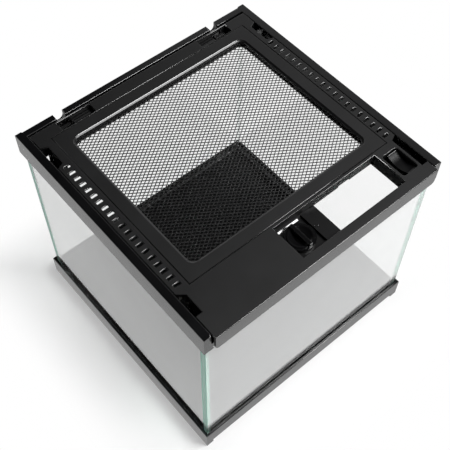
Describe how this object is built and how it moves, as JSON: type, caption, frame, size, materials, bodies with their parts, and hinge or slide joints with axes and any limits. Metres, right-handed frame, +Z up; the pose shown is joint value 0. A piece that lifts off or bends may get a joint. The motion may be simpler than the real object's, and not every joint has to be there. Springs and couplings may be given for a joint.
{
  "type": "reptile terrarium",
  "caption": "Small glass terrarium with moulded base and top frames, a hinged mesh lid, a sliding feeding door with a turn knob, a thumb latch and cable inlets.",
  "frame": {"origin": "middle of the bounding box, on the resting face of the base", "axes": "+X to the tank's right as seen from the apron side, +Y from the apron to the hinge side, +Z up"},
  "size_m": [0.2, 0.2, 0.172],
  "materials": {
    "frame_plastic": "fine matt moulded black",
    "lid_plastic": "fine matt moulded black",
    "fitting_plastic": "smooth moulded black",
    "floor_plastic": "smooth black",
    "pane_glass": "clear float glass with green edges",
    "sealant": "clear cured sealant",
    "mesh_metal": "black coated expanded metal",
    "steel": "bright steel",
    "spring_steel": "black oxide wire"
  },
  "bodies": {
    "tank": {"base_frame": "frame_plastic", "floor_pan": "floor_plastic", "glass_front": "pane_glass", "glass_back": "pane_glass", "glass_left": "pane_glass", "glass_right": "pane_glass", "corner_seals": "sealant", "top_frame": "frame_plastic", "hinge_pins": "steel"},
    "lid": {"lid_panel": "lid_plastic", "door_track": "lid_plastic", "inlet_tracks": "lid_plastic", "latch_keeper": "lid_plastic", "keeper_screws": "steel", "screen_frame": "lid_plastic", "screen_mesh": "mesh_metal", "mesh_retainer": "lid_plastic"},
    "feeding_door": {"feeding_door": "lid_plastic"},
    "door_lock": {"turn_knob": "fitting_plastic", "knob_cam": "lid_plastic", "cam_screw": "steel"},
    "thumb_latch": {"thumb_latch": "fitting_plastic", "latch_spring": "spring_steel"},
    "left_shutter": {"inlet_shutter_left": "fitting_plastic"},
    "right_shutter": {"inlet_shutter_right": "fitting_plastic"}
  },
  "joints": [
    {"name": "lid_hinge", "type": "hinge", "parent": "tank", "child": "lid", "pos_m": [0, 0.0902, 0.1695], "axis": [-1, 0, 0], "range_deg": [0, 105]},
    {"name": "door_slide", "type": "slide", "parent": "lid", "child": "feeding_door", "axis": [1, 0, 0], "range_m": [0, 0.0536]},
    {"name": "knob_turn", "type": "hinge", "parent": "feeding_door", "child": "door_lock", "pos_m": [-0.0083, -0.07895, 0.168], "axis": [0, 0, 1], "range_deg": [0, 90]},
    {"name": "latch_slide", "type": "slide", "parent": "lid", "child": "thumb_latch", "axis": [-1, 0, 0], "range_m": [0, 0.004], "stiffness_N_per_m": 150, "springref_m": -0.004, "deforming": ["latch_spring"]},
    {"name": "left_shutter_slide", "type": "slide", "parent": "lid", "child": "left_shutter", "axis": [-1, 0, 0], "range_m": [0, 0.0106]},
    {"name": "right_shutter_slide", "type": "slide", "parent": "lid", "child": "right_shutter", "axis": [1, 0, 0], "range_m": [0, 0.0106]}
  ]
}
